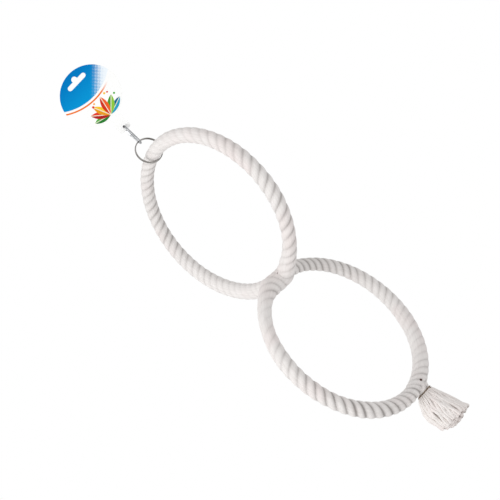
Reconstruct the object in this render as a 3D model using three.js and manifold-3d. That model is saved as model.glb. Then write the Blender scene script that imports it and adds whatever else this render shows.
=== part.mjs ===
// Bird rope with rings: a cotton rope laid in a figure of eight, hung from a printed card.
// Millimetres, +Z up. The origin is where the shop peg carries the card, at the top of the euro slot.
// The card lies in the XZ plane and its printed side faces -Y.

import * as THREE from 'three';
import { mergeVertices } from 'three/addons/utils/BufferGeometryUtils.js';
import Module from 'manifold-3d';

const wasm = await Module();
wasm.setup();

// Clearances
const SEAT = 0.3;              // gap between pieces that touch
const SWING_ROOM = 0.8;        // gap under the split ring, which lets its two turns tip in the link

// Header card
const CARD_RADIUS = 42.5;
const CARD_THICKNESS = 0.6;
const CARD_CENTRE_DROP = 35.8; // from the peg down to the disc's centre
const SLOT_LENGTH = 32;
const SLOT_HEIGHT = 7;
const SLOT_DROP = 8.8;         // from the peg down to the slot's centre line
const BUMP_RADIUS = 4.2;
const TAB_WIDTH = 18;
const TAB_CORNER = 4;
const TAB_HOLE_DIAMETER = 6;
const TAB_HOLE_DROP = 97.3;    // from the peg down to the hole's centre
const TAB_LAND = 4;            // card left under the hole

// Quick link
const LINK_WIRE = 3;
const LINK_LENGTH = 35.2;
const LINK_INNER_WIDTH = 6;
const LINK_TURN = 12;          // degrees, turned from square to the card
const GATE_GAP = 4.5;
const GATE_RISE = 5.75;        // from the link's middle up to the gate's middle
const SLEEVE_LENGTH = 9;
const SLEEVE_FLATS = 5;
const SLEEVE_CHAMFER = 0.5;

// Split ring
const RING_WIRE = 1.5;
const RING_RADIUS = 18.5;
const RING_TURN = 30;          // degrees, turned from the card's plane
const TURN_GAP = 0.45;         // between the two turns
const CROSS_ANGLE = 14;        // degrees each side of the step from one turn to the other

// Rope
const ROPE_DIAMETER = 19;
const UPPER_RADIUS = 119;      // to the rope's centre line
const LOWER_RADIUS = 116;
const RING_OVERLAP = 2.2;      // the two circles would overlap by this at the crossing
const UPPER_TURN = -50.5;      // degrees about the hang line
const LOWER_TURN = 47.5;
const UPPER_LEAVE = 14;        // degrees from the crossing, where the rope leaves the upper circle
const LOWER_LEAVE = 17;
const PASS_HANDLE = 25.5;      // length of the curve handles through the crossing
const FAR_SAG = 5;             // the far pass hangs this much lower
const ROPE_STEP = 12;
const PASS_STEPS = 12;
const CORE_DIAMETER = 2;
const CORE_BORE = 3.2;
const CORE_END_GAP = 1;

// Joint and tassel at the bottom
const JOINT_ANGLE = 13.5;      // degrees from the lowest point of the lower ring to the neck
const PIN_ANGLE = 19;
const PIN_DIAMETER = 3;
const PIN_PROUD = 0.6;
const CROSSING_PIN_RISE = 4.6;
const NECK_RADIUS = 11.4;
const NECK_SHOULDER = 12.8;
const NECK_DROP = 18.5;        // from the rope's centre line to the end of the neck
const BINDING_DROP = 14.5;     // from the rope's centre line to the binding wire
const BINDING_WIRE = 1.5;
const BINDING_TURNS = 1.25;
const BINDING_PITCH = 2.1;
const STRAND_COUNT = 6;
const TASSEL_LENGTH = 56.5;
const TASSEL_RADIUS = 26;
const TASSEL_TOP_RADIUS = 11.4;
const TASSEL_BULGE = 7;
const TASSEL_CUT_RISE = 9;     // the cut end is this much shorter at its rim
const TASSEL_SWING = 20;       // degrees, the slope that lets the strands bend at the neck
const STRAND_SLOT = 0.018;     // half the slit between strands, as a share of the local radius

const rad = THREE.MathUtils.degToRad;

const material = (color, roughness, metalness) =>
  new THREE.MeshStandardMaterial({ color, roughness, metalness });

const CARD_BOARD = material('#0e86c8', 0.45, 0);
const ZINC_PLATED_STEEL = material('#b9bcbf', 0.35, 1);
const DARK_STEEL = material('#5c5a58', 0.45, 1);
const COTTON_ROPE = material('#ddd6cf', 0.95, 0);
const BROWN_WIRE = material('#7a5a3e', 0.5, 1);
const FRAYED_COTTON = material('#d6cfcb', 1, 0);

const part = new THREE.Group();

function add(name, geometry, look) {
  const mesh = new THREE.Mesh(geometry, look);
  mesh.name = name;
  part.add(mesh);
  return mesh;
}

// Solids for cutting and joining

function solidOf(geometry) {
  const bare = geometry.clone();
  bare.deleteAttribute('normal');
  bare.deleteAttribute('uv');
  const merged = mergeVertices(bare, 1e-4);
  return new wasm.Manifold(new wasm.Mesh({
    numProp: 3,
    vertProperties: new Float32Array(merged.attributes.position.array),
    triVerts: new Uint32Array(merged.index.array),
  }));
}

function geometryOf(solid) {
  const mesh = solid.getMesh();
  const geometry = new THREE.BufferGeometry();
  geometry.setAttribute('position', new THREE.BufferAttribute(mesh.vertProperties, 3));
  geometry.setIndex(new THREE.BufferAttribute(mesh.triVerts, 1));
  return geometry;
}

// Curves and sweeps

// A point on an upright circle. The angle is measured from its top towards the direction (across).
function circlePoint(centre, radius, across, angle) {
  return centre.clone()
    .addScaledVector(across, radius * Math.sin(angle))
    .addScaledVector(UP, radius * Math.cos(angle));
}

function circleTangent(across, angle) {
  return across.clone().multiplyScalar(Math.cos(angle)).addScaledVector(UP, -Math.sin(angle));
}

// A curve made of pieces, each with its own number of steps, so that tight bends get short steps.
class SteppedCurve extends THREE.Curve {
  constructor(pieces) {
    super();
    this.pieces = pieces;
    this.steps = pieces.reduce((sum, piece) => sum + piece.steps, 0);
  }

  getPoint(t, target = new THREE.Vector3()) {
    let step = t * this.steps;
    let index = 0;
    while (index < this.pieces.length - 1 && step > this.pieces[index].steps) {
      step -= this.pieces[index].steps;
      index += 1;
    }
    return target.copy(this.pieces[index].at(step / this.pieces[index].steps));
  }

  getUtoTmapping(u) {
    return u;
  }
}

function roundShape(radius, sides) {
  const shape = new THREE.Shape();
  for (let i = 0; i < sides; i += 1) {
    const angle = (2 * Math.PI * i) / sides;
    const x = radius * Math.cos(angle);
    const y = radius * Math.sin(angle);
    if (i === 0) shape.moveTo(x, y);
    else shape.lineTo(x, y);
  }
  shape.closePath();
  return shape;
}

function sweep(curve, radius, sides) {
  return new THREE.ExtrudeGeometry(roundShape(radius, sides), {
    steps: curve.steps,
    extrudePath: curve,
    bevelEnabled: false,
  });
}

// Least gap between stretches of a wire that lie further apart along it than (apart)
function leastGap(curve, wire, apart, samples = 400) {
  const points = [];
  for (let i = 0; i <= samples; i += 1) points.push(curve.getPoint(i / samples));
  let along = 0;
  const lengths = [0];
  for (let i = 1; i <= samples; i += 1) {
    along += points[i].distanceTo(points[i - 1]);
    lengths.push(along);
  }
  let least = Infinity;
  for (let i = 0; i <= samples; i += 1) {
    for (let j = i + 1; j <= samples; j += 1) {
      if (lengths[j] - lengths[i] > apart) least = Math.min(least, points[i].distanceTo(points[j]));
    }
  }
  return least - wire;
}

// Places, worked out from the sizes above

const UP = new THREE.Vector3(0, 0, 1);
const flat = (degrees) => new THREE.Vector3(Math.cos(rad(degrees)), Math.sin(rad(degrees)), 0);
const upperAcross = flat(UPPER_TURN);
const lowerAcross = flat(LOWER_TURN);
const ringAcross = flat(RING_TURN);
const linkAcross = flat(90 + LINK_TURN);

const tabHoleBottom = -TAB_HOLE_DROP - TAB_HOLE_DIAMETER / 2;
const linkTop = tabHoleBottom + SEAT + LINK_WIRE;
const linkCentre = linkTop - LINK_LENGTH / 2;
const linkInnerBottom = linkTop - LINK_LENGTH + LINK_WIRE;
const ringTop = linkInnerBottom + SWING_ROOM + RING_WIRE / 2;
const ringCentre = ringTop - RING_RADIUS;
const ringBottom = ringTop - 2 * RING_RADIUS;
const ropeTop = ringBottom + RING_WIRE / 2 + SEAT + ROPE_DIAMETER / 2;
const upperCentre = new THREE.Vector3(0, 0, ropeTop - UPPER_RADIUS);
const lowerCentre = upperCentre.clone()
  .addScaledVector(UP, RING_OVERLAP - UPPER_RADIUS - LOWER_RADIUS);
const crossingHeight = (upperCentre.z - UPPER_RADIUS + lowerCentre.z + LOWER_RADIUS) / 2;

// Header card

function makeHeaderCard() {
  const slotHalf = SLOT_LENGTH / 2 - SLOT_HEIGHT / 2;
  const slotZ = -SLOT_DROP;
  const tabTopAngle = Math.asin(TAB_WIDTH / 2 / CARD_RADIUS);
  const tabBottom = -TAB_HOLE_DROP - TAB_HOLE_DIAMETER / 2 - TAB_LAND;
  const half = TAB_WIDTH / 2;

  const outline = new THREE.Shape();
  outline.absarc(0, -CARD_CENTRE_DROP, CARD_RADIUS, -Math.PI / 2 + tabTopAngle,
    1.5 * Math.PI - tabTopAngle, false);
  outline.lineTo(-half, tabBottom + TAB_CORNER);
  outline.absarc(-half + TAB_CORNER, tabBottom + TAB_CORNER, TAB_CORNER, Math.PI, 1.5 * Math.PI, false);
  outline.absarc(half - TAB_CORNER, tabBottom + TAB_CORNER, TAB_CORNER, 1.5 * Math.PI, 2 * Math.PI, false);
  outline.closePath();

  const slot = new THREE.Path();
  slot.absarc(-slotHalf, slotZ, SLOT_HEIGHT / 2, Math.PI / 2, 1.5 * Math.PI, false);
  slot.absarc(slotHalf, slotZ, SLOT_HEIGHT / 2, -Math.PI / 2, Math.PI / 2, false);
  slot.lineTo(BUMP_RADIUS, slotZ + SLOT_HEIGHT / 2);
  slot.absarc(0, -BUMP_RADIUS, BUMP_RADIUS, 0, Math.PI, false);
  slot.lineTo(-BUMP_RADIUS, slotZ + SLOT_HEIGHT / 2);
  slot.closePath();

  const hole = new THREE.Path();
  hole.absarc(0, -TAB_HOLE_DROP, TAB_HOLE_DIAMETER / 2, 0, 2 * Math.PI, false);
  outline.holes.push(slot, hole);

  const geometry = new THREE.ExtrudeGeometry(outline, {
    depth: CARD_THICKNESS, bevelEnabled: false, curveSegments: 28,
  });
  const card = add('header_card', geometry, CARD_BOARD);
  card.rotation.x = Math.PI / 2;
  card.position.y = CARD_THICKNESS / 2;
}

// Quick link, drawn in its own plane and open at its gate

function makeQuickLink() {
  const bend = LINK_INNER_WIDTH / 2 + LINK_WIRE / 2;
  const leg = LINK_LENGTH / 2 - LINK_WIRE / 2 - bend;
  const gateLow = GATE_RISE - GATE_GAP / 2;
  const gateHigh = GATE_RISE + GATE_GAP / 2;
  const place = (y, z) => new THREE.Vector3(0, 0, linkCentre + z).addScaledVector(linkAcross, y);
  const line = (y, from, to) => ({ steps: 1, at: (t) => place(y, from + (to - from) * t) });
  const turn = (z, from, to) => ({
    steps: 8,
    at: (t) => {
      const angle = from + (to - from) * t;
      return place(bend * Math.cos(angle), z + bend * Math.sin(angle));
    },
  });
  const wire = new SteppedCurve([
    line(bend, gateHigh, leg),
    turn(leg, 0, Math.PI),
    line(-bend, leg, -leg),
    turn(-leg, Math.PI, 2 * Math.PI),
    line(bend, -leg, gateLow),
  ]);
  add('quick_link', sweep(wire, LINK_WIRE / 2, 10), ZINC_PLATED_STEEL);

  const bore = LINK_WIRE / 2 + SEAT;
  const flats = SLEEVE_FLATS / 2;
  const tall = SLEEVE_LENGTH / 2;
  const nut = new THREE.LatheGeometry([
    new THREE.Vector2(bore, -tall),
    new THREE.Vector2(flats, -tall),
    new THREE.Vector2(flats + SLEEVE_CHAMFER, -tall + SLEEVE_CHAMFER),
    new THREE.Vector2(flats + SLEEVE_CHAMFER, tall - SLEEVE_CHAMFER),
    new THREE.Vector2(flats, tall),
    new THREE.Vector2(bore, tall),
    new THREE.Vector2(bore, -tall),
  ], 24);
  const hexagon = new THREE.CylinderGeometry(flats / Math.cos(Math.PI / 6), flats / Math.cos(Math.PI / 6),
    SLEEVE_LENGTH + 1, 6);
  const sleeve = add('quick_link_sleeve', geometryOf(solidOf(nut).intersect(solidOf(hexagon))),
    ZINC_PLATED_STEEL);
  sleeve.rotation.set(Math.PI / 2, 0, 0);
  sleeve.position.copy(place(bend, GATE_RISE));
}

// Split ring: two turns side by side, with one step between them

function makeSplitRing() {
  const axis = new THREE.Vector3().crossVectors(UP, ringAcross);
  const centre = new THREE.Vector3(0, 0, ringCentre);
  const offset = (RING_WIRE + TURN_GAP) / 2;
  const start = rad(CROSS_ANGLE);
  const at = (angle) => {
    const fromStep = (angle - 2 * Math.PI) / start;
    const side = Math.abs(fromStep) >= 1 ? Math.sign(fromStep) : Math.sin((fromStep * Math.PI) / 2);
    return circlePoint(centre, RING_RADIUS, ringAcross, angle + Math.PI / 2)
      .addScaledVector(axis, offset * side);
  };
  const run = (from, to, steps) => ({ steps, at: (t) => at(from + (to - from) * t) });
  const wire = new SteppedCurve([
    run(start, 2 * Math.PI - start, 26),
    run(2 * Math.PI - start, 2 * Math.PI + start, 6),
    run(2 * Math.PI + start, 4 * Math.PI - start, 26),
  ]);
  console.log('split ring, least gap between turns', leastGap(wire, RING_WIRE, 12).toFixed(2));
  add('split_ring', sweep(wire, RING_WIRE / 2, 8), ZINC_PLATED_STEEL);
}

// Rope: lower ring, near pass, upper ring, far pass, and the rest of the lower ring

function ropePieces(firstAngle, lastAngle) {
  const joint = Math.PI - rad(JOINT_ANGLE);
  const arc = (centre, radius, across, from, to) => ({
    steps: Math.round((Math.abs(to - from) * radius) / ROPE_STEP),
    at: (t) => circlePoint(centre, radius, across, from + (to - from) * t),
  });
  // (side) is 1 for the near pass, which joins the upper ring's near side to the lower ring's near side.
  const pass = (side, sag, towardsUpper) => {
    const upperAngle = Math.PI - side * rad(UPPER_LEAVE);
    const lowerAngle = -side * rad(LOWER_LEAVE);
    const upperEnd = circlePoint(upperCentre, UPPER_RADIUS, upperAcross, upperAngle);
    const lowerEnd = circlePoint(lowerCentre, LOWER_RADIUS, lowerAcross, lowerAngle);
    const upperHandle = circleTangent(upperAcross, upperAngle).multiplyScalar(side * PASS_HANDLE);
    const lowerHandle = circleTangent(lowerAcross, lowerAngle).multiplyScalar(side * PASS_HANDLE);
    const curve = new THREE.CubicBezierCurve3(
      upperEnd,
      upperEnd.clone().add(upperHandle).addScaledVector(UP, -sag),
      lowerEnd.clone().add(lowerHandle).addScaledVector(UP, -sag),
      lowerEnd,
    );
    return { steps: PASS_STEPS, at: (t) => curve.getPoint(towardsUpper ? 1 - t : t) };
  };
  return [
    arc(lowerCentre, LOWER_RADIUS, lowerAcross, joint + firstAngle, 2 * Math.PI - rad(LOWER_LEAVE)),
    pass(1, 0, true),
    arc(upperCentre, UPPER_RADIUS, upperAcross, Math.PI - rad(UPPER_LEAVE), rad(UPPER_LEAVE) - Math.PI),
    pass(-1, FAR_SAG, false),
    arc(lowerCentre, LOWER_RADIUS, lowerAcross, rad(LOWER_LEAVE), joint - lastAngle),
  ];
}

// A straight rod, or the hole for one
function rod(radius, length, centre, direction, sides = 12) {
  const geometry = new THREE.CylinderGeometry(radius, radius, length, sides);
  geometry.applyQuaternion(new THREE.Quaternion().setFromUnitVectors(new THREE.Vector3(0, 1, 0), direction));
  geometry.translate(centre.x, centre.y, centre.z);
  return geometry;
}

const neckPoint = circlePoint(lowerCentre, LOWER_RADIUS, lowerAcross, Math.PI - rad(JOINT_ANGLE));
const pinPoint = circlePoint(lowerCentre, LOWER_RADIUS, lowerAcross, Math.PI - rad(PIN_ANGLE));
const pinDirection = new THREE.Vector3().crossVectors(UP, lowerAcross);
const crossingPinPoint = new THREE.Vector3(0, 0, crossingHeight + CROSSING_PIN_RISE - FAR_SAG / 2);
const crossingPinDirection = new THREE.Vector3(0, 1, 0);

function makeRope() {
  const route = new SteppedCurve(ropePieces(0, 0));
  const pinBackOff = rad(PIN_ANGLE - JOINT_ANGLE);
  const endGap = (PIN_DIAMETER / 2 + SEAT + CORE_END_GAP) / LOWER_RADIUS;
  const startGap = ROPE_DIAMETER / LOWER_RADIUS;
  const boreRoute = new SteppedCurve(ropePieces(startGap, pinBackOff));
  const coreRoute = new SteppedCurve(ropePieces(startGap + CORE_END_GAP / LOWER_RADIUS, pinBackOff + endGap));

  const neck = new THREE.LatheGeometry([
    new THREE.Vector2(0, -NECK_DROP),
    new THREE.Vector2(NECK_RADIUS, -NECK_DROP),
    new THREE.Vector2(NECK_RADIUS, -BINDING_DROP + BINDING_PITCH),
    new THREE.Vector2(NECK_SHOULDER, -ROPE_DIAMETER / 2),
    new THREE.Vector2(NECK_SHOULDER - 2, -ROPE_DIAMETER / 4),
    new THREE.Vector2(NECK_SHOULDER / 2, 0),
    new THREE.Vector2(0, 0),
  ], 24);
  neck.rotateX(Math.PI / 2);
  neck.translate(neckPoint.x, neckPoint.y, neckPoint.z);

  const holeRadius = PIN_DIAMETER / 2 + SEAT;
  const through = 4 * ROPE_DIAMETER;
  const solid = solidOf(sweep(route, ROPE_DIAMETER / 2, 12))
    .add(solidOf(neck))
    .subtract(solidOf(sweep(boreRoute, CORE_BORE / 2, 6)))
    .subtract(solidOf(rod(holeRadius, 2 * ROPE_DIAMETER, pinPoint, pinDirection)))
    .subtract(solidOf(rod(holeRadius, through, crossingPinPoint, crossingPinDirection)));
  add('rope', geometryOf(solid), COTTON_ROPE);
  add('core_wire', sweep(coreRoute, CORE_DIAMETER / 2, 6), DARK_STEEL);
}

function makePins() {
  const tasselPinLength = ROPE_DIAMETER + 2 * PIN_PROUD;
  const crossingPinLength = 2 * ROPE_DIAMETER;
  add('tassel_pin', rod(PIN_DIAMETER / 2, tasselPinLength, pinPoint, pinDirection), DARK_STEEL);
  add('crossing_pin', rod(PIN_DIAMETER / 2, crossingPinLength, crossingPinPoint, crossingPinDirection),
    DARK_STEEL);
}

// Binding wire: a short open coil round the neck

function makeBindingWire() {
  const radius = NECK_RADIUS + SEAT + BINDING_WIRE / 2;
  const top = neckPoint.z - BINDING_DROP + (BINDING_TURNS * BINDING_PITCH) / 2;
  const coil = new SteppedCurve([{
    steps: Math.round(BINDING_TURNS * 24),
    at: (t) => {
      const angle = rad(LOWER_TURN) - 2 * Math.PI * BINDING_TURNS * t;
      return new THREE.Vector3(
        neckPoint.x + radius * Math.cos(angle),
        neckPoint.y + radius * Math.sin(angle),
        top - BINDING_TURNS * BINDING_PITCH * t,
      );
    },
  }]);
  console.log('binding wire, least gap between laps', leastGap(coil, BINDING_WIRE, 30).toFixed(2));
  add('binding_wire', sweep(coil, BINDING_WIRE / 2, 8), BROWN_WIRE);
}

// Tassel: each frayed strand is a wedge of the bundle, flared by a formula

function makeTassel() {
  const wedge = new THREE.Shape();
  const half = Math.PI / STRAND_COUNT;
  const tip = STRAND_SLOT / Math.sin(half);
  const shoulder = 0.8;
  wedge.moveTo(tip, 0);
  wedge.lineTo(tip + shoulder * Math.cos(half), -shoulder * Math.sin(half));
  wedge.quadraticCurveTo(1.12, 0, tip + shoulder * Math.cos(half), shoulder * Math.sin(half));
  wedge.closePath();

  const top = neckPoint.z - NECK_DROP - SEAT;
  for (let i = 0; i < STRAND_COUNT; i += 1) {
    const heading = 2 * half * i + half;
    const geometry = new THREE.ExtrudeGeometry(wedge, {
      depth: 1, steps: 7, bevelEnabled: false, curveSegments: 7,
    });
    const position = geometry.attributes.position;
    for (let k = 0; k < position.count; k += 1) {
      const x = position.getX(k);
      const y = position.getY(k);
      const down = 1 - position.getZ(k);
      const bulge = TASSEL_BULGE * ((1 - Math.cos(heading)) / 2) * Math.sin(Math.PI * Math.sqrt(down));
      const radius = TASSEL_TOP_RADIUS + (TASSEL_RADIUS - TASSEL_TOP_RADIUS) * down + bulge;
      const out = Math.hypot(x, y);
      const topDrop = TASSEL_TOP_RADIUS * out * Math.tan(rad(TASSEL_SWING));
      const length = TASSEL_LENGTH - TASSEL_CUT_RISE * out * out - topDrop;
      const angle = Math.atan2(y, x) + heading;
      position.setXYZ(k, radius * out * Math.cos(angle), radius * out * Math.sin(angle),
        top - topDrop - length * down);
    }
    geometry.translate(neckPoint.x, neckPoint.y, 0);
    add('tassel_strand_' + (i + 1), geometry, FRAYED_COTTON);
  }
}

makeHeaderCard();
makeQuickLink();
makeSplitRing();
makeRope();
makePins();
makeBindingWire();
makeTassel();

console.log('link top', linkTop.toFixed(2), 'ring top', ringTop.toFixed(2), 'rope top', ropeTop.toFixed(2));
console.log('upper centre', upperCentre.z.toFixed(2), 'lower centre', lowerCentre.z.toFixed(2),
  'neck', neckPoint.toArray().map((v) => v.toFixed(2)).join(' '));

export default part;
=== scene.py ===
import math

import bpy
import numpy as np
from mathutils import Matrix, Vector


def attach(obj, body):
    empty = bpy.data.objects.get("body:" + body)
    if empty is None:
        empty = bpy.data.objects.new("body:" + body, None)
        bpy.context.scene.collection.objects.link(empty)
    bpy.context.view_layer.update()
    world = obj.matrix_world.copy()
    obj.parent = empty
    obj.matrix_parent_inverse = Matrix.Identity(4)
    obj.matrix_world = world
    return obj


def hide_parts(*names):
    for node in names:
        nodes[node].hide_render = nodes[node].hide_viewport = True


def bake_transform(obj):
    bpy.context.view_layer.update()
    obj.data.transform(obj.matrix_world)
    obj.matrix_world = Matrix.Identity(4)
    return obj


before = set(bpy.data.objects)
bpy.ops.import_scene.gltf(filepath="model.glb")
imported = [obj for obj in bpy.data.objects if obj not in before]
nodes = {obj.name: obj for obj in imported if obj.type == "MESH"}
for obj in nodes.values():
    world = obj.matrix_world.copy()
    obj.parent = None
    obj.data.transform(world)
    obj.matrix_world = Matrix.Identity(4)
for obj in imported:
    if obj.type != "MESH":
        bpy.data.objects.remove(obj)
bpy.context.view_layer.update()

# Bird rope with rings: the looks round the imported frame. Metres, +Z up, the camera looks along +Y.

MM = 0.001

# Rope route, repeated from the part's source but for the sags and the pin's near end
ROPE_RADIUS = 9.5 * MM
UPPER_RADIUS = 119 * MM
LOWER_RADIUS = 116 * MM
UPPER_CENTRE = -273.1 * MM
LOWER_CENTRE = -505.9 * MM
UPPER_TURN = math.radians(-50.5)
LOWER_TURN = math.radians(47.5)
UPPER_LEAVE = math.radians(14)
LOWER_LEAVE = math.radians(17)
PASS_HANDLE = 25.5 * MM
NEAR_SAG = 5 * MM
FAR_SAG = 0.0
JOINT_ANGLE = math.radians(13.5)
PIN_ANGLE = math.radians(19)
NEAR_PIN_ANGLE = math.radians(13.8)
PIN_RADIUS = 1.5 * MM
PIN_FAR_REACH = 10.1 * MM
PIN_NEAR_REACH = 12.2 * MM

# Steps along the rope and sides round it, the rope before the joint, and the joint's reach along the ring
ROUTE_STEP = 1.35 * MM
LAY_SIDES = 72
NECK_LEAD = 11 * MM
JOINT_REACH = 16 * MM
THIRD = 2 * math.pi / 3
CONE_SHARE = 0.35

# Neck and tassel. A waist is where one rope end passes the binding: across and square to the lower ring.
NECK_DROP = 18.5 * MM
BINDING_DROP = 14.5 * MM
NECK_RADIUS = 11.4 * MM
NEAR_WAIST = (-1.0 * MM, -1.2 * MM)
FAR_WAIST = (4.2 * MM, 1.2 * MM)
FOOT_EXTRA = 1.5 * MM
STRAND_COUNT = 6
LOCK_LENGTH = 59.5 * MM
LOCK_START_RISE = 1.2 * MM
TASSEL_CUT_RISE = 6.5 * MM
TASSEL_CUT_SLANT = 1.5 * MM
TUFT_BODY_LENGTH = 50 * MM
TUFT_BODY_SHARE = 0.46

# Shells of locks in a tuft: how far out they lie, how many there are, and their radius
TUFT_SHELLS = ((1.0, 5, 1.9 * MM), (0.93, 4, 2.1 * MM), (0.72, 3, 2.4 * MM), (0.42, 2, 2.6 * MM),
               (0.15, 1, 2.8 * MM))

# Camera
CAMERA_PLACE = Vector((-3.5, -2277.5, -658.2)) * MM
CAMERA_RISE = math.radians(8.0)
CAMERA_ROLL = math.radians(46.5)
LENS = 125

UP = np.array([0.0, 0.0, 1.0])
# the side that is turned away from the light, down and to the right
SHADED = np.array([0.69, 0.1, -0.72])
upper_across = np.array([math.cos(UPPER_TURN), math.sin(UPPER_TURN), 0.0])
lower_across = np.array([math.cos(LOWER_TURN), math.sin(LOWER_TURN), 0.0])
lower_face = np.array([-math.sin(LOWER_TURN), math.cos(LOWER_TURN), 0.0])
upper_centre = UPPER_CENTRE * UP
lower_centre = LOWER_CENTRE * UP
rng = np.random.default_rng(7)


def make_camera():
    """As the photo was taken: from a little below, and rolled so that the toy hangs to the lower right."""
    ahead = Vector((0, math.cos(CAMERA_RISE), math.sin(CAMERA_RISE)))
    right = Vector((1, 0, 0))
    above = Vector((0, -math.sin(CAMERA_RISE), math.cos(CAMERA_RISE)))
    turned_right = right * math.cos(CAMERA_ROLL) - above * math.sin(CAMERA_ROLL)
    turned_above = right * math.sin(CAMERA_ROLL) + above * math.cos(CAMERA_ROLL)
    data = bpy.data.cameras.new("camera")
    data.sensor_width = 36
    data.lens = LENS
    data.clip_start = 0.05
    data.clip_end = 50
    camera = bpy.data.objects.new("camera", data)
    bpy.context.collection.objects.link(camera)
    turn = Matrix((turned_right, turned_above, -ahead)).transposed()
    camera.matrix_world = Matrix.Translation(CAMERA_PLACE) @ turn.to_4x4()
    bpy.context.scene.camera = camera


# Colours and nodes

def linear(code):
    channels = [int(code[i:i + 2], 16) / 255 for i in (1, 3, 5)]
    return [c / 12.92 if c <= 0.04045 else ((c + 0.055) / 1.055) ** 2.4 for c in channels] + [1.0]


def add_node(tree, kind, inputs=None, links=None, **settings):
    """Adds a node, sets its settings and input values, and links sockets into its inputs."""
    node = tree.nodes.new(kind)
    for key, value in settings.items():
        setattr(node, key, value)
    for key, value in (inputs or {}).items():
        node.inputs[key].default_value = value
    for key, socket in (links or {}).items():
        tree.links.new(socket, node.inputs[key])
    return node


def new_material(name, colour, roughness, metallic=0.0):
    material = bpy.data.materials.new(name)
    material.use_nodes = True
    shader = material.node_tree.nodes["Principled BSDF"]
    shader.inputs["Base Color"].default_value = linear(colour)
    shader.inputs["Roughness"].default_value = roughness
    shader.inputs["Metallic"].default_value = metallic
    return material, material.node_tree, shader


def maths(tree, operation, first, second=None, third=None):
    """One Math node whose inputs are numbers or sockets."""
    node = tree.nodes.new("ShaderNodeMath")
    node.operation = operation
    for i, value in enumerate((first, second, third)):
        if value is None:
            continue
        if isinstance(value, (int, float)):
            node.inputs[i].default_value = value
        else:
            tree.links.new(value, node.inputs[i])
    return node.outputs[0]


def mix(tree, share, first, second):
    """Mixes two colours, each a hex code or a socket, by a share from a socket."""
    node = tree.nodes.new("ShaderNodeMix")
    node.data_type = "RGBA"
    tree.links.new(share, node.inputs[0])
    for slot, value in ((6, first), (7, second)):
        if isinstance(value, str):
            node.inputs[slot].default_value = linear(value)
        else:
            tree.links.new(value, node.inputs[slot])
    return node.outputs[2]


# Cotton rope, spun and laid: matt and a little fluffy, with painted shade in the grooves, and faint pink and
# grey patches.
# There are yarns_around fibre bundles round the rope, and run of them along its length.
def cotton(name, light, painted_shade_tone, yarns_around, run, detail=3.0, relief=0.35):
    material, tree, shader = new_material(name, light, 0.95)
    shader.inputs["Sheen Weight"].default_value = 0.15
    shader.inputs["Sheen Roughness"].default_value = 0.5
    shader.inputs["Specular IOR Level"].default_value = 0.2
    place = add_node(tree, "ShaderNodeTexCoord")
    painted_shade = add_node(tree, "ShaderNodeAttribute", attribute_name="painted_shade")
    patches = add_node(tree, "ShaderNodeTexNoise", {"Scale": 1 / (45 * MM), "Detail": 2.0},
                       {"Vector": place.outputs["Object"]})
    tint = add_node(tree, "ShaderNodeMapRange", {"From Min": 0.5, "From Max": 0.75, "To Max": 0.5},
                    {"Value": patches.outputs["Fac"]})
    colour = mix(tree, tint.outputs[0], light, "#eadcda")
    # fibres run along the rope: a noise drawn out along it, in the lay's own coordinates
    uv = add_node(tree, "ShaderNodeUVMap", uv_map="lay")
    lay = add_node(tree, "ShaderNodeSeparateXYZ", None, {"Vector": uv.outputs["UV"]})
    around = maths(tree, "MULTIPLY", lay.outputs["Y"], 2 * math.pi)
    drawn = add_node(tree, "ShaderNodeCombineXYZ", None, {
        "X": maths(tree, "MULTIPLY", lay.outputs["X"], run),
        "Y": maths(tree, "MULTIPLY", maths(tree, "COSINE", around), yarns_around / (2 * math.pi)),
        "Z": maths(tree, "MULTIPLY", maths(tree, "SINE", around), yarns_around / (2 * math.pi)),
    })
    fibre = add_node(tree, "ShaderNodeTexNoise", {"Scale": 1.0, "Detail": detail, "Roughness": 0.6},
                     {"Vector": drawn.outputs[0]})
    speck = add_node(tree, "ShaderNodeMapRange", {"From Min": 0.42, "From Max": 0.7, "To Max": 0.3},
                     {"Value": fibre.outputs["Fac"]})
    colour = mix(tree, speck.outputs[0], colour, "#c8c2bd")
    # painted shade: the mesh's attribute draws the colour towards the shade tone
    deep = add_node(tree, "ShaderNodeMapRange", {"From Min": 0.0, "From Max": 1.0, "To Max": 0.72},
                    {"Value": painted_shade.outputs["Fac"]})
    colour = mix(tree, deep.outputs[0], colour, painted_shade_tone)
    tree.links.new(colour, shader.inputs["Base Color"])
    bump = add_node(tree, "ShaderNodeBump", {"Strength": relief, "Distance": 0.5 * MM},
                    {"Height": fibre.outputs["Fac"]})
    tree.links.new(bump.outputs[0], shader.inputs["Normal"])
    return material


# Plated steel: bright metal with a faint haze and fine handling marks
def plated_steel(name, colour, dull, roughness, patch=3):
    material, tree, shader = new_material(name, colour, roughness, 1.0)
    place = add_node(tree, "ShaderNodeTexCoord")
    haze = add_node(tree, "ShaderNodeTexNoise", {"Scale": 1 / (patch * MM), "Detail": 4.0},
                    {"Vector": place.outputs["Object"]})
    worn = add_node(tree, "ShaderNodeMapRange", {"From Min": 0.4, "From Max": 0.7, "To Max": 0.7},
                    {"Value": haze.outputs["Fac"]})
    tree.links.new(mix(tree, worn.outputs[0], colour, dull), shader.inputs["Base Color"])
    rough = add_node(tree, "ShaderNodeMapRange",
                     {"From Min": 0.3, "From Max": 0.7, "To Min": roughness, "To Max": roughness + 0.2},
                     {"Value": haze.outputs["Fac"]})
    tree.links.new(rough.outputs[0], shader.inputs["Roughness"])
    bump = add_node(tree, "ShaderNodeBump", {"Strength": 0.15, "Distance": 0.05 * MM},
                    {"Height": haze.outputs["Fac"]})
    tree.links.new(bump.outputs[0], shader.inputs["Normal"])
    return material


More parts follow.
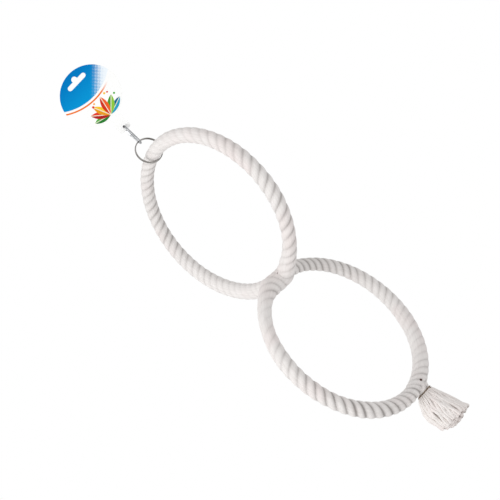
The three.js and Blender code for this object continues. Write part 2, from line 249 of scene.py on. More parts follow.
# Printed card: coated board with a satin face. The blue field fades in screen dots, over a white foot.
# Places on its face are in millimetres from the disc's centre.
CARD_CENTRE = -35.8 * MM
CARD_FRONT = 0.28 * MM
DOT_SCREEN = 2.0
FADE_RANGE = (-2.0, 24.0)
FIELD_ARC = (2.0, 68.0)
FIELD_ARC_RADIUS = 72.0
STRIPE_RADII = (75.0, 77.2)
SPRAY_FOOT = (0.0, -38.5)

# Leaves of the spray: heading in degrees, length, width and two tones
LEAVES = (
    (163.0, 25.0, 9.0, "#4fae3f", "#2c7d33"),
    (18.0, 28.0, 9.0, "#2f9fc0", "#17688f"),
    (138.0, 28.0, 10.0, "#e2402f", "#b01f22"),
    (44.0, 28.0, 10.0, "#8cc63f", "#4f9a35"),
    (112.0, 27.0, 10.0, "#f6c531", "#e79a22"),
    (76.0, 29.0, 10.0, "#ef5f2a", "#cf3322"),
)

# Berries: place, radius and colour
BERRIES = (
    (-9.5, -14.0, 1.7, "#e2402f"),
    (-5.5, -11.8, 1.4, "#f6a623"),
    (14.5, -11.5, 1.6, "#f6c531"),
    (18.5, -13.0, 1.3, "#e2402f"),
    (24.0, -21.0, 1.5, "#4fae3f"),
)


def printed_card():
    material, tree, shader = new_material("printed_board", "#0a86cb", 0.5)
    shader.inputs["Specular IOR Level"].default_value = 0.03
    place = add_node(tree, "ShaderNodeTexCoord")
    split = add_node(tree, "ShaderNodeSeparateXYZ", None, {"Vector": place.outputs["Object"]})
    across = maths(tree, "DIVIDE", split.outputs["X"], MM)
    height = maths(tree, "DIVIDE", maths(tree, "SUBTRACT", split.outputs["Z"], CARD_CENTRE), MM)

    def below(value, edge, soft=0.25):
        node = add_node(tree, "ShaderNodeMapRange",
                        {"From Min": edge - soft, "From Max": edge + soft, "To Min": 1.0, "To Max": 0.0},
                        {"Value": value})
        return node.outputs[0]

    def length_of(x, z):
        """The length of a vector whose two parts are sockets."""
        return maths(tree, "SQRT", maths(tree, "MULTIPLY_ADD", x, x, maths(tree, "MULTIPLY", z, z)))

    def reach(x, z, unit=1.0):
        """Distance on the card from a point, in some unit of millimetres."""
        dx = maths(tree, "SUBTRACT", across, x)
        dz = maths(tree, "SUBTRACT", height, z)
        return maths(tree, "DIVIDE", length_of(dx, dz), unit)

    # blue field, deep at the top and lighter lower down
    glow = add_node(tree, "ShaderNodeMapRange", {"From Min": 36.0, "From Max": 2.0}, {"Value": height})
    blue = mix(tree, glow.outputs[0], "#0078c0", "#0593d3")
    # the fade: pale dots on a slanted screen, which grow towards the lower right until they meet
    slant = math.sqrt(0.5)
    falling = maths(tree, "MULTIPLY_ADD", across, slant, maths(tree, "MULTIPLY", height, -slant))
    rising = maths(tree, "MULTIPLY_ADD", across, slant, maths(tree, "MULTIPLY", height, slant))
    fade = add_node(tree, "ShaderNodeMapRange", {"From Min": FADE_RANGE[0], "From Max": FADE_RANGE[1]},
                   {"Value": falling})
    cell_x = maths(tree, "SUBTRACT", maths(tree, "FRACT", maths(tree, "DIVIDE", falling, DOT_SCREEN)), 0.5)
    cell_z = maths(tree, "SUBTRACT", maths(tree, "FRACT", maths(tree, "DIVIDE", rising, DOT_SCREEN)), 0.5)
    dot_radius = maths(tree, "MULTIPLY", fade.outputs[0], 0.85)
    inside_dot = maths(tree, "SUBTRACT", dot_radius, length_of(cell_x, cell_z))
    dots = add_node(tree, "ShaderNodeMapRange", {"From Min": -0.08, "From Max": 0.08, "To Max": 0.95},
                    {"Value": inside_dot})
    begun = add_node(tree, "ShaderNodeMapRange", {"From Min": 0.02, "From Max": 0.3},
                     {"Value": fade.outputs[0]})
    blue = mix(tree, maths(tree, "MULTIPLY", dots.outputs[0], begun.outputs[0]), blue, "#f4fafe")
    # the field ends in a wide arc, and an orange stripe follows it, fading out to the right
    from_arc = reach(*FIELD_ARC)
    colour = mix(tree, below(from_arc, FIELD_ARC_RADIUS), "#fdfdfc", blue)
    stripe = maths(tree, "MULTIPLY", below(from_arc, STRIPE_RADII[1]),
                   maths(tree, "SUBTRACT", 1.0, below(from_arc, STRIPE_RADII[0])))
    colour = mix(tree, maths(tree, "MULTIPLY", stripe, below(across, 21.0, 8.0)), colour, "#f0761a")

    def leaf(colour, x, z, turn, length, wide, light, dark):
        """A pointed leaf that grows from x, z, with two tones and a pale middle vein."""
        c, s = math.cos(math.radians(turn)), math.sin(math.radians(turn))
        dx, dz = maths(tree, "SUBTRACT", across, x), maths(tree, "SUBTRACT", height, z)
        along = maths(tree, "MULTIPLY_ADD", dx, c / length, maths(tree, "MULTIPLY", dz, s / length))
        over = maths(tree, "MULTIPLY_ADD", dx, -s / wide, maths(tree, "MULTIPLY", dz, c / wide))
        left = maths(tree, "SUBTRACT", 1.0, along)
        room = maths(tree, "MULTIPLY", maths(tree, "MULTIPLY", along, left), 2.0)
        away = maths(tree, "ABSOLUTE", over)
        shape = maths(tree, "GREATER_THAN", maths(tree, "SUBTRACT", room, away), 0.0)
        vein = maths(tree, "MULTIPLY", shape, maths(tree, "LESS_THAN", away, 0.05))
        tones = mix(tree, maths(tree, "GREATER_THAN", over, 0.0), light, dark)
        return mix(tree, vein, mix(tree, shape, colour, tones), "#f3efd8")

    # a plain spray of leaves with berries on the white foot
    for turn, length, wide, light, dark in LEAVES:
        colour = leaf(colour, *SPRAY_FOOT, turn, length, wide, light, dark)
    for x, z, size, code in BERRIES:
        colour = mix(tree, below(reach(x, z, size), 1.0, 0.08), colour, code)
    # only the front face is printed; the back and the cut edge are bare board
    towards_viewer = maths(tree, "MULTIPLY", split.outputs["Y"], -1.0)
    front = maths(tree, "GREATER_THAN", towards_viewer, CARD_FRONT)
    colour = mix(tree, front, "#f3f1ec", colour)
    fibre = add_node(tree, "ShaderNodeTexNoise", {"Scale": 1 / (0.8 * MM), "Detail": 3.0},
                     {"Vector": place.outputs["Object"]})
    tree.links.new(colour, shader.inputs["Base Color"])
    bump = add_node(tree, "ShaderNodeBump", {"Strength": 0.08, "Distance": 0.05 * MM},
                    {"Height": fibre.outputs["Fac"]})
    tree.links.new(bump.outputs[0], shader.inputs["Normal"])
    return material


# Rope geometry

def on_circle(centre, radius, across, angle):
    """A point on an upright circle, its angle measured from the top."""
    return centre + radius * (math.sin(angle) * across + math.cos(angle) * UP)


def circle_tangent(across, angle):
    return math.cos(angle) * across - math.sin(angle) * UP


def bezier(a, b, c, d, count):
    t = np.linspace(0, 1, count)[:, None]
    return (1 - t) ** 3 * a + 3 * (1 - t) ** 2 * t * b + 3 * (1 - t) * t * t * c + t ** 3 * d


def arc(centre, radius, across, start, end, count):
    return np.array([on_circle(centre, radius, across, a) for a in np.linspace(start, end, count)])


def crossing_pass(side, sag):
    """From the upper ring to the lower ring; side is 1 for the near pass and -1 for the far one."""
    upper_angle = math.pi - side * UPPER_LEAVE
    lower_angle = -side * LOWER_LEAVE
    a = on_circle(upper_centre, UPPER_RADIUS, upper_across, upper_angle)
    d = on_circle(lower_centre, LOWER_RADIUS, lower_across, lower_angle)
    b = a + side * PASS_HANDLE * circle_tangent(upper_across, upper_angle) - sag * UP
    c = d + side * PASS_HANDLE * circle_tangent(lower_across, lower_angle) - sag * UP
    return bezier(a, b, c, d, 60)


def even_steps(points, step):
    """The same route with points an even step apart."""
    lengths = np.r_[0, np.cumsum(np.linalg.norm(np.diff(points, axis=0), axis=1))]
    count = int(round(lengths[-1] / step)) + 1
    wanted = np.linspace(0, lengths[-1], count)
    return np.column_stack([np.interp(wanted, lengths, points[:, i]) for i in range(3)]), wanted


def frames_along(points):
    """Tangents and two normals that don't twist."""
    tangents = np.gradient(points, axis=0)
    tangents /= np.linalg.norm(tangents, axis=1)[:, None]
    # any direction will do that the route doesn't start along
    start = np.cross(tangents[0], [0.31, 0.87, 0.38])
    normal = start / np.linalg.norm(start)
    normals = []
    for tangent in tangents:
        normal = normal - tangent * (normal @ tangent)
        normal /= np.linalg.norm(normal)
        normals.append(normal)
    normals = np.array(normals)
    return tangents, normals, np.cross(tangents, normals)


def facing(angle, normals, sides, direction):
    """How far each side of a tube is turned towards a direction, with a row for each point of the tube."""
    return (np.cos(angle)[None, :] * (normals @ direction)[:, None]
            + np.sin(angle)[None, :] * (sides @ direction)[:, None])


def skin(name, points, radii, painted_shade=None):
    """A closed tube. radii has a row for each point and a column for each side; the ends are coned shut."""
    tangents, normals, sides = frames_along(points)
    rows, count = radii.shape
    angle = np.arange(count) * 2 * math.pi / count
    ring = (np.cos(angle)[None, :, None] * normals[:, None, :]
            + np.sin(angle)[None, :, None] * sides[:, None, :])
    verts = points[:, None, :] + ring * radii[:, :, None]
    cap_a = points[0] - tangents[0] * radii[0].mean() * CONE_SHARE
    cap_b = points[-1] + tangents[-1] * radii[-1].mean() * CONE_SHARE
    all_verts = np.vstack([verts.reshape(-1, 3), cap_a, cap_b])
    i = np.arange(rows - 1)[:, None]
    j = np.arange(count)[None, :]
    k = (j + 1) % count
    quads = np.stack(np.broadcast_arrays(i * count + j, i * count + k, (i + 1) * count + k,
                                         (i + 1) * count + j), axis=-1).reshape(-1, 4)
    first, last = rows * count, rows * count + 1
    faces = [tuple(q) for q in quads.tolist()]
    faces += [(first, (n + 1) % count, n) for n in range(count)]
    base = (rows - 1) * count
    faces += [(last, base + n, base + (n + 1) % count) for n in range(count)]
    mesh = bpy.data.meshes.new(name)
    mesh.from_pydata(all_verts.tolist(), [], faces)
    mesh.shade_smooth()
    # painted shade for the material, one value for each point; the coned ends get half
    deep = np.zeros((rows, count)) if painted_shade is None else painted_shade
    attribute = mesh.attributes.new("painted_shade", "FLOAT", "POINT")
    attribute.data.foreach_set("value", np.r_[deep.ravel(), 0.5, 0.5].astype(np.float32))
    u = np.repeat(np.linspace(0, 1, rows), count)
    v = np.tile(angle / (2 * math.pi), rows)
    uv_points = np.column_stack([np.r_[u, 0, 0], np.r_[v, 0, 0]])
    layer = mesh.uv_layers.new(name="lay")
    corner = np.empty(len(mesh.loops), dtype=np.int32)
    mesh.loops.foreach_get("vertex_index", corner)
    values = uv_points[corner].copy()
    # the last side joins the first one, so its far corners lie at 1 and not at 0
    closing = np.tile(np.arange(count) == count - 1, rows - 1)
    closing_start = 4 * np.flatnonzero(closing)
    for offset in (1, 2):
        values[closing_start + offset, 1] += 1
    layer.data.foreach_set("uv", values.ravel().astype(np.float32))
    thing = bpy.data.objects.new(name, mesh)
    bpy.context.collection.objects.link(thing)
    return thing


def join(name, things):
    bpy.ops.object.select_all(action="DESELECT")
    for thing in things:
        thing.select_set(True)
    bpy.context.view_layer.objects.active = things[0]
    bpy.ops.object.join()
    things[0].name = name
    things[0].data.name = name
    return things[0]


def smooth_noise(along, length, seed):
    """A gentle random curve along the rope, of two octaves, about -1 to 1."""
    local = np.random.default_rng(seed)
    total = np.zeros_like(along)
    for octave in (1, 2):
        knots = np.arange(0, along[-1] + 3 * length, length / octave)
        values = local.uniform(-1, 1, len(knots))
        total += np.interp(along, knots, values) / octave
    window = np.hanning(max(5, int(length / ROUTE_STEP / 2)))
    window /= window.sum()
    padded = np.pad(total, len(window), mode="edge")
    return np.convolve(padded, window, mode="same")[len(window):-len(window)]


# Places on the neck: across and face are measured in the lower ring's plane and square to it

neck = on_circle(lower_centre, LOWER_RADIUS, lower_across, math.pi - JOINT_ANGLE)


def at_neck(across, face, up):
    return neck + across * lower_across + face * lower_face + up * UP


def rope_route():
    """From the binding into the near side of the lower ring, round the upper ring, and back to the joint."""
    leave = math.pi - JOINT_ANGLE + JOINT_REACH / LOWER_RADIUS
    right_end = math.pi - JOINT_ANGLE + 0.7 * JOINT_REACH / LOWER_RADIUS
    waist = at_neck(*NEAR_WAIST, -BINDING_DROP)
    foot = at_neck(*NEAR_WAIST, -NECK_DROP - FOOT_EXTRA)
    branch = on_circle(lower_centre, LOWER_RADIUS, lower_across, leave)
    handle = branch - 13 * MM * circle_tangent(lower_across, leave) - 1 * MM * lower_face
    pieces = [
        bezier(foot, foot, waist, waist, 8),
        bezier(waist, waist + 11 * MM * UP, handle, branch, 40),
        arc(lower_centre, LOWER_RADIUS, lower_across, leave, 2 * math.pi - LOWER_LEAVE, 400),
        crossing_pass(1, NEAR_SAG)[::-1],
        arc(upper_centre, UPPER_RADIUS, upper_across, math.pi - UPPER_LEAVE, UPPER_LEAVE - math.pi, 700),
        crossing_pass(-1, FAR_SAG),
        arc(lower_centre, LOWER_RADIUS, lower_across, LOWER_LEAVE, right_end, 400),
    ]
    return even_steps(np.vstack([p[:-1] for p in pieces[:-1]] + [pieces[-1]]), ROUTE_STEP)


def along_rope(along, window, *keys):
    """A smooth curve through (distance from the joint in mm, value) pairs."""
    places, values = zip(*keys)
    curve = np.interp((along - NECK_LEAD) / MM, places, values)
    weight = np.hanning(2 * int(window * MM / ROUTE_STEP / 2) + 1)
    half = len(weight) // 2
    return np.convolve(np.pad(curve, half, mode="edge"), weight / weight.sum(), mode="valid")


def rope_thickness(along):
    """The rope's thickness against its nominal one."""
    return along_rope(along, 40, (0, 1.06), (60, 1.12), (110, 1.17), (160, 1.08), (240, 1.09), (285, 0.93),
                      (325, 0.99), (360, 1.18), (398, 1.16), (450, 0.98), (520, 1.09), (620, 1.1),
                      (710, 1.06), (790, 0.95), (900, 0.98), (1030, 1.13), (1120, 1.16), (1175, 0.92),
                      (1260, 1.01), (1340, 1.1), (1440, 1.17))


def lay_depth(along):
    """How deep the grooves are: near 1 where the rope hangs free, and near 0 where it was pressed flat."""
    return along_rope(along, 40, (0, 0.8), (130, 1.0), (180, 0.9), (225, 0.55), (260, 0.25), (300, 0.1),
                      (335, 0.15), (352, 0.5), (370, 0.22), (395, 0.25), (430, 0.42), (480, 0.7),
                      (550, 0.75), (600, 0.55), (650, 0.3), (700, 0.1), (760, 0.25), (820, 0.5),
                      (900, 0.7), (950, 0.55), (1000, 0.35), (1040, 0.15), (1080, 0.2), (1130, 0.4),
                      (1160, 0.75), (1200, 0.65), (1260, 0.6), (1300, 0.4), (1350, 0.2), (1410, 0.2),
                      (1450, 0.5))


def strand_spacing(along):
    """From one strand to the next along the rope, in mm."""
    return along_rope(along, 40, (0, 11.5), (50, 12.3), (110, 13.0), (230, 14.2), (500, 14.5), (650, 13.7),
                      (720, 12.6), (840, 11.6), (900, 12.0), (1010, 11.4), (1200, 11.5), (1300, 12.0),
                      (1400, 12.3))


def painted_shade_stretches(along):
    """Painted shade on whole stretches, where the crossing's shadow falls and where the rope faces away from
    the light, and not only in the grooves.
    """
    return along_rope(along, 30, (740, 0), (810, 0.08), (925, 0.08), (960, 0), (1145, 0), (1165, 0.2),
                      (1205, 0.14), (1240, 0.05), (1275, 0))


def pressed_taller(along, rise):
    """Where the two passes are pinned together they are pressed taller, the near one mostly downwards."""
    near_press = along_rope(along, 20, (335, 0), (360, 1), (392, 1), (420, 0))[:, None]
    far_press = along_rope(along, 20, (1065, 0), (1095, 1), (1130, 1), (1155, 0))[:, None]
    lifted = np.clip(rise, 0, 1) ** 2
    lowered = np.clip(-rise, 0, 1) ** 2
    return 1 + near_press * (0.18 * lifted + 0.22 * lowered) + far_press * (0.12 * lifted + 0.05 * lowered)


def make_rope(material):
    """Three strands laid right-handed, deep where the rope hangs free and flat where it was pressed."""
    points, along = rope_route()
    press = lay_depth(along)
    lay_step = THIRD * ROUTE_STEP / (strand_spacing(along) * MM)
    turn = np.cumsum(lay_step) + 0.35 * smooth_noise(along, 50 * MM, 5)
    # each strand is a lobe, whose centre is shifted out further where the grooves are deep
    shift = (0.8 + 1.6 * press) * MM
    lobe = ROPE_RADIUS + 0.1 * MM - shift
    angle = np.arange(LAY_SIDES) * 2 * math.pi / LAY_SIDES
    phase = (angle[None, :] - turn[:, None]) / THIRD
    local = (phase - np.round(phase)) * THIRD
    radii = (shift[:, None] * np.cos(local)
             + np.sqrt(lobe[:, None] ** 2 - (shift[:, None] * np.sin(local)) ** 2))
    uneven = 1 + 0.012 * smooth_noise(along, 25 * MM, 3)
    radii = radii * (rope_thickness(along) * uneven)[:, None]
    _, normals, sides = frames_along(points)
    radii = radii * pressed_taller(along, facing(angle, normals, sides, UP))
    # inside the binding the rope is drawn in
    bound = np.clip(1.7 - along / NECK_LEAD, 0, 1)[:, None]
    radii = radii * (1 + bound * (0.03 * facing(angle, normals, sides, lower_face) ** 2 - 0.08))
    # painted shade in the grooves, deeper on one flank of a strand and on the side turned from the light
    edge = np.abs(local) / (THIRD / 2)
    flank = np.clip(local / (THIRD / 2), 0, 1)
    strand = np.round(phase).astype(int) % 3
    wander = np.stack([smooth_noise(along, 16 * MM, 11 + n) for n in range(3)], axis=1)
    patchy = 1 + 0.35 * np.take_along_axis(wander, strand, axis=1)
    shaded = 1 + 0.55 * facing(angle, normals, sides, SHADED)
    painted_shade = 0.35 * edge ** 2 + 0.4 * np.clip((edge - 0.5) / 0.5, 0, 1) ** 1.5 + 0.45 * flank ** 1.6
    # painted shade on whole stretches is added as well
    painted_shade = painted_shade * press[:, None] ** 0.9 * patchy * shaded + painted_shade_stretches(along)[:, None]
    rope = skin("rope_lay", points, radii, painted_shade)
    rope.data.materials.append(material)
    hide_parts("rope")
    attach(rope, "rope_rings")


def make_neck(material):
    """The far end of the rope turns down behind the near one, and both are gathered by the binding."""
    leave = math.pi - JOINT_ANGLE - JOINT_REACH / LOWER_RADIUS
    branch = on_circle(lower_centre, LOWER_RADIUS, lower_across, leave)
    waist = at_neck(*FAR_WAIST, -BINDING_DROP)
    foot = at_neck(*FAR_WAIST, -NECK_DROP - FOOT_EXTRA)
    handle = branch + 11 * MM * circle_tangent(lower_across, leave)
    bend = bezier(branch, handle, waist + 9 * MM * UP, waist, 30)
    points, along = even_steps(np.vstack([bend[:-1], bezier(waist, waist, foot, foot, 8)]), 0.7 * MM)
    share = along / along[-1]
    sides = 48
    angle = np.arange(sides) * 2 * math.pi / sides
    phase = (angle[None, :] - 2 * math.pi * along[:, None] / (34 * MM)) / THIRD
    local = (phase - np.round(phase)) * THIRD
    edge = np.abs(local) / (THIRD / 2)
    radius = np.interp(share, [0, 0.4, 0.8, 1], [10.6 * MM, 10.6 * MM, 6.9 * MM, 6.6 * MM])
    radii = radius[:, None] * (1 - 0.17 * edge ** 3)
    _, normals, others = frames_along(points)
    # lower down it is wider square to the ring
    widened = 0.55 * np.clip(share * 2 - 0.9, 0, 1)[:, None]
    radii = radii * (1 + widened * facing(angle, normals, others, lower_face) ** 2)
    # painted shade in the grooves between the strands
    stub = skin("neck_far_end", points, radii, np.clip((edge - 0.45) / 0.55, 0, 1) ** 1.7 * 0.8)
    stub.data.materials.append(material)
    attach(stub, "rope_rings")


def tassel_reach(down, angle):
    """How far the tassel stands out, at a drop below the binding in mm, in a direction from +X."""
    down = np.maximum(down, 0)
    tied = 10.9 + 1.3 * np.minimum(down / 5, 1)
    # on the right it opens evenly; on the left it bulges out and draws in again
    straight = tied + 16.0 * down / 51
    bulge = 12.3 * np.sin(np.minimum(down / 28, 1) * math.pi / 2)
    bulging = tied + bulge - 4.2 * np.clip(down / 22 - 1.3, 0, 1.5)
    left = (1 - math.cos(angle)) / 2
    return (straight + (bulging - straight) * left) * MM


def make_tassel(material):
    """Each strand of the two ends is combed out into soft wavy locks, cut off higher at the rim."""
    for i in range(STRAND_COUNT):
        heading = 2 * math.pi * (i + 0.5) / STRAND_COUNT
        locks = [make_tuft_body(heading, material)]
        for ring, count, radius in TUFT_SHELLS:
            for k in range(count):
                offset = (k + 0.5) / count - 0.5 + rng.uniform(-0.06, 0.06)
                angle = heading + offset * 2 * math.pi / STRAND_COUNT
                locks.append(make_lock(ring, angle, radius, material))
        tuft = join("tassel_tuft_" + str(i + 1), locks)
        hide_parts("tassel_strand_" + str(i + 1))
        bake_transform(tuft)


def make_tuft_body(angle, material):
    """The body of one tuft under its locks, so that no gap between them is deep."""
    rows = 40
    sides = 32
    down = np.linspace(0, TUFT_BODY_LENGTH, rows)
    half_reach = TUFT_BODY_SHARE * tassel_reach((down - LOCK_START_RISE) / MM, angle)
    radial = np.array([math.cos(angle), math.sin(angle), 0.0])
    points = neck + (LOCK_START_RISE - BINDING_DROP - down)[:, None] * UP + half_reach[:, None] * radial
    around = np.arange(sides) * 2 * math.pi / sides
    ridges = 1 + 0.03 * np.cos(9 * around[None, :] + down[:, None] / (6 * MM))
    # the body is given even painted shade, as it lies under the locks
    body = skin("tuft_body", points, half_reach[:, None] * ridges, np.full((rows, sides), 0.4))
    body.data.materials.append(material)
    return body


def make_lock(ring, angle, thickness, material):
    """One lock of combed yarn, from the binding to its cut end."""
    count = 46
    share = np.linspace(0, 1, count)
    length = LOCK_LENGTH - TASSEL_CUT_RISE * ring ** 2 + TASSEL_CUT_SLANT * ring * math.cos(angle)
    length = length + rng.uniform(-1.8, 0.8) * MM
    down = share * length
    radius = thickness * (0.62 + 0.78 * share)
    out = ring * (tassel_reach((down - LOCK_START_RISE) / MM, angle) - radius)
    wave, other = rng.uniform(26, 46, 2) * MM
    first, second, twist = rng.uniform(0, 2 * math.pi, 3)
    grow = np.clip(share * 3, 0, 1)
    sway = grow * 1.5 * MM * np.sin(2 * math.pi * down / wave + first)
    swell = grow * 0.7 * MM * np.sin(2 * math.pi * down / other + second)
    radial = np.array([math.cos(angle), math.sin(angle), 0.0])
    tangent = np.array([-math.sin(angle), math.cos(angle), 0.0])
    points = (neck + (LOCK_START_RISE - BINDING_DROP - down)[:, None] * UP
              + (out - swell)[:, None] * radial + sway[:, None] * tangent)
    sides = 18
    around = np.arange(sides) * 2 * math.pi / sides
    turned = 2 * around[None, :] + 2 * math.pi * down[:, None] / (46 * MM) + twist
    ply = 1 + 0.12 * np.cos(turned) + 0.03 * np.cos(5 * around[None, :] + 3 * twist)
    cut = np.interp(share, [0, 0.97, 1], [1, 1, 0.8])
    _, normals, binormals = frames_along(points)
    outward = facing(around, normals, binormals, radial)
    # painted shade on the side of each lock that is turned in, away from the tassel's outside
    lock = skin("lock", points, (radius * cut)[:, None] * ply, np.clip(0.95 * (0.42 - outward), 0, 1))
    lock.data.materials.append(material)
    return lock


def make_tassel_pin(material):
    """The pin that holds the two ends together. It slants, so that its near end stands nearer to the neck."""
    far_end = on_circle(lower_centre, LOWER_RADIUS, lower_across, math.pi - PIN_ANGLE)
    far_end = far_end + PIN_FAR_REACH * lower_face
    near_end = on_circle(lower_centre, LOWER_RADIUS, lower_across, math.pi - NEAR_PIN_ANGLE)
    near_end = near_end - PIN_NEAR_REACH * lower_face
    along = Vector(near_end - far_end)
    middle = Vector((near_end + far_end) / 2)
    bpy.ops.object.select_all(action="DESELECT")
    bpy.ops.mesh.primitive_cylinder_add(vertices=20, radius=PIN_RADIUS, depth=along.length, location=middle,
                                        rotation=along.to_track_quat("Z", "Y").to_euler())
    pin = bpy.context.active_object
    pin.name = "tassel_pin_rod"
    bpy.ops.object.transform_apply(location=True, rotation=True, scale=True)
    bevel = pin.modifiers.new("round_ends", "BEVEL")
    bevel.width = 0.5 * MM
    bevel.segments = 3
    bpy.ops.object.modifier_apply(modifier="round_ends")
    bpy.ops.object.shade_smooth_by_angle(angle=math.radians(50))
    pin.data.materials.append(material)
    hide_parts("tassel_pin")
    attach(pin, "rope_rings")


# Wire pieces

LINK_WIRE = 3 * MM
LINK_LENGTH = 35.2 * MM
LINK_INNER_WIDTH = 6 * MM
LINK_TURN = math.radians(102)
LINK_CENTRE = -114.6 * MM
LINK_DARK_REFLECTION_HEIGHT = -100.5 * MM
GATE_RISE = 5.75 * MM
GATE_GAP = 4.5 * MM
RING_WIRE = 1.5 * MM
RING_RADIUS = 18.5 * MM
RING_TURN = math.radians(30)
RING_CENTRE = -146.15 * MM
RING_OFFSET = 0.975 * MM
RING_STEP_ANGLE = math.radians(14)
BINDING_WIRE = 1.5 * MM
BINDING_TURNS = 1.25
BINDING_PITCH = 2.1 * MM
FREE_END_LIFT = 1.6 * MM
FREE_END_SHARE = 0.06


def make_quick_link(material):
    """A round wire, extruded and spun over its top bend and under its bottom one, open at the gate."""
    bend = (LINK_INNER_WIDTH + LINK_WIRE) / 2
    leg = LINK_LENGTH / 2 - LINK_WIRE / 2 - bend
    link_across = Vector((math.cos(LINK_TURN), math.sin(LINK_TURN), 0))
    square = Vector((0, 0, 1)).cross(link_across)
    centre = Vector((0, 0, LINK_CENTRE))
    rise = Vector((0, 0, 1))
    start = centre + bend * link_across + (GATE_RISE + GATE_GAP / 2) * rise
    bpy.ops.object.select_all(action="DESELECT")
    bpy.ops.mesh.primitive_circle_add(vertices=24, radius=LINK_WIRE / 2, fill_type="NGON", location=start)
    bpy.ops.object.mode_set(mode="EDIT")
    move = "TRANSFORM_OT_translate"
    up_stub = (leg - GATE_RISE - GATE_GAP / 2) * rise
    bpy.ops.mesh.extrude_region_move(**{move: {"value": up_stub}})
    bpy.ops.mesh.spin(steps=16, angle=math.pi, center=centre + leg * rise, axis=square)
    bpy.ops.mesh.extrude_region_move(**{move: {"value": -2 * leg * rise}})
    bpy.ops.mesh.spin(steps=16, angle=math.pi, center=centre - leg * rise, axis=square)
    bpy.ops.mesh.extrude_region_move(**{move: {"value": (leg + GATE_RISE - GATE_GAP / 2) * rise}})
    bpy.ops.mesh.select_all(action="SELECT")
    bpy.ops.mesh.remove_doubles(threshold=0.01 * MM)
    bpy.ops.mesh.select_all(action="DESELECT")
    bpy.ops.mesh.select_interior_faces()
    bpy.ops.mesh.delete(type="FACE")
    bpy.ops.mesh.select_all(action="SELECT")
    bpy.ops.mesh.normals_make_consistent(inside=False)
    bpy.ops.object.mode_set(mode="OBJECT")
    link = bpy.context.active_object
    link.name = "quick_link_wire"
    bpy.ops.object.transform_apply(location=True, rotation=True, scale=True)
    bpy.ops.object.shade_smooth_by_angle(angle=math.radians(40))
    link.data.materials.append(material)
    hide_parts("quick_link")
    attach(link, "quick_link")


def make_split_ring(material):
    """Two turns of spring wire side by side, with one step between them."""
    ring_across = np.array([math.cos(RING_TURN), math.sin(RING_TURN), 0.0])
    axis = np.cross(UP, ring_across)
    angles = np.linspace(RING_STEP_ANGLE, 4 * math.pi - RING_STEP_ANGLE, 240)
    past_step = np.clip((angles - 2 * math.pi) / RING_STEP_ANGLE, -1, 1)
    shift = RING_OFFSET * np.sin(past_step * math.pi / 2)
    points = np.array([on_circle(RING_CENTRE * UP, RING_RADIUS, ring_across, a + math.pi / 2) + s * axis
                       for a, s in zip(angles, shift)])
    ring = skin("split_ring_wire", points, np.full((len(points), 16), RING_WIRE / 2))
    ring.data.materials.append(material)
    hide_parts("split_ring")
    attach(ring, "split_ring")


def make_binding(material):
    """Thin wire wound round the neck. Its free end stands off a little."""
    turns = np.linspace(0, 1, 80)
    radius = NECK_RADIUS - 0.1 * MM + FREE_END_LIFT * np.clip(1 - turns / FREE_END_SHARE, 0, 1)
    top = -BINDING_DROP + BINDING_TURNS * BINDING_PITCH / 2
    angles = LOWER_TURN - 2 * math.pi * BINDING_TURNS * turns
    points = np.column_stack([
        neck[0] + radius * np.cos(angles),
        neck[1] + radius * np.sin(angles),
        neck[2] + top - BINDING_TURNS * BINDING_PITCH * turns,
    ])
    wire = skin("binding_coil", points, np.full((len(points), 14), BINDING_WIRE / 2))
    wire.data.materials.append(material)
    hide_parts("binding_wire")
    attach(wire, "rope_rings")


# Studio: soft light from the toy's left, white behind. Powers are in watts.
FLOOR_HEIGHT = -950 * MM
FLOOR_SIZE = 3600 * MM
WORLD_LIGHT = 0.72
FLOOR_WHITE_SHARE = 0.9


def area_lamp(name, place, target, size, power):
    data = bpy.data.lights.new(name, "AREA")
    data.shape = "DISK"
    data.size = size
    data.energy = power
    lamp = bpy.data.objects.new(name, data)
    bpy.context.collection.objects.link(lamp)
    lamp.location = place
    aim = Vector(target) - Vector(place)
    lamp.rotation_mode = "QUATERNION"
    lamp.rotation_quaternion = aim.to_track_quat("-Z", "Y")


def seen_directly(tree):
    """A socket that is 1 for rays from the camera, from gloss and through glass."""
    path = add_node(tree, "ShaderNodeLightPath")
    mirrored = maths(tree, "MAXIMUM", path.outputs["Is Glossy Ray"], path.outputs["Is Transmission Ray"])
    return maths(tree, "MAXIMUM", path.outputs["Is Camera Ray"], mirrored)


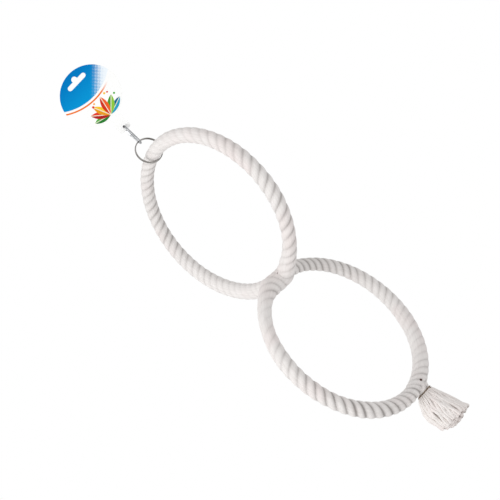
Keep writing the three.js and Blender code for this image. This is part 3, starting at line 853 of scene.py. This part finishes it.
def make_studio():
    middle = (0, 0, -0.35)
    area_lamp("key_left", (-1.8, -1.4, 0.0), middle, size=1.2, power=18)
    area_lamp("fill_front", (0.5, -2.3, 0.1), middle, size=1.8, power=4)
    world = bpy.data.worlds.new("studio")
    bpy.context.scene.world = world
    world.use_nodes = True
    tree = world.node_tree
    tree.nodes.clear()
    seen = seen_directly(tree)
    lit = add_node(tree, "ShaderNodeBackground", {"Color": (1, 1, 1, 1), "Strength": WORLD_LIGHT})
    shown = add_node(tree, "ShaderNodeBackground", {"Color": (1, 1, 1, 1), "Strength": 1.0})
    both = add_node(tree, "ShaderNodeMixShader", None,
                    {0: seen, 1: lit.outputs[0], 2: shown.outputs[0]})
    add_node(tree, "ShaderNodeOutputWorld", None, {"Surface": both.outputs[0]})
    bpy.ops.object.select_all(action="DESELECT")
    bpy.ops.mesh.primitive_plane_add(size=FLOOR_SIZE, location=(0, 0, FLOOR_HEIGHT))
    floor = bpy.context.active_object
    floor.name = "studio_floor"
    bpy.ops.object.transform_apply(location=True, rotation=True, scale=True)
    material, tree, shader = new_material("white_paper_floor", "#f7f7f7", 0.9)
    glow = add_node(tree, "ShaderNodeEmission", {"Color": (1, 1, 1, 1), "Strength": 1.0})
    seen = seen_directly(tree)
    share = maths(tree, "MULTIPLY", seen, FLOOR_WHITE_SHARE)
    both = add_node(tree, "ShaderNodeMixShader", None,
                    {0: share, 1: shader.outputs[0], 2: glow.outputs[0]})
    tree.links.new(both.outputs[0], tree.nodes["Material Output"].inputs["Surface"])
    floor.data.materials.append(material)


def dress(node, material):
    """Gives a CAD node its finish."""
    thing = nodes[node]
    if thing.data.materials:
        for slot in thing.material_slots:
            slot.material = material
    else:
        thing.data.materials.append(material)


def darken_above(material, height, code):
    """Mixes a darker tone into a material above a height: a painted dark reflection."""
    tree = material.node_tree
    shader = tree.nodes["Principled BSDF"]
    place = add_node(tree, "ShaderNodeTexCoord")
    split = add_node(tree, "ShaderNodeSeparateXYZ", None, {"Vector": place.outputs["Object"]})
    share = add_node(tree, "ShaderNodeMapRange",
                     {"From Min": height - 1.5 * MM, "From Max": height + 1.5 * MM},
                     {"Value": split.outputs["Z"]})
    old = shader.inputs["Base Color"].links[0].from_socket
    tree.links.new(mix(tree, share.outputs[0], old, code), shader.inputs["Base Color"])


make_camera()
bpy.context.scene.view_settings.view_transform = "Standard"
make_studio()

rope_cotton = cotton("laid_cotton_rope", "#ece8e6", "#79726e", yarns_around=36, run=60)
neck_cotton = cotton("bound_cotton_strand", "#ece8e6", "#79726e", yarns_around=30, run=3)
combed_cotton = cotton("combed_cotton_fray", "#f1ece9", "#85766a", yarns_around=12, run=5,
                       detail=2.0, relief=0.25)
zinc = plated_steel("zinc_plated_steel", "#b3b4b6", "#747678", 0.28, patch=14)
# painted dark reflection on the link's top bend
darken_above(zinc, LINK_DARK_REFLECTION_HEIGHT, "#3c3c3d")
nickel = plated_steel("nickel_plated_spring_wire", "#a5a29f", "#4f4b48", 0.25, patch=12)
dark_steel = plated_steel("oiled_steel_pin", "#5c3f39", "#33221e", 0.4)
brown_wire = plated_steel("browned_binding_wire", "#86735f", "#5f5245", 0.4)

make_rope(rope_cotton)
make_neck(neck_cotton)
make_tassel(combed_cotton)
make_tassel_pin(dark_steel)
make_quick_link(zinc)
make_split_ring(nickel)
make_binding(brown_wire)
dress("header_card", printed_card())
dress("quick_link_sleeve", zinc)
dress("core_wire", dark_steel)
dress("crossing_pin", dark_steel)
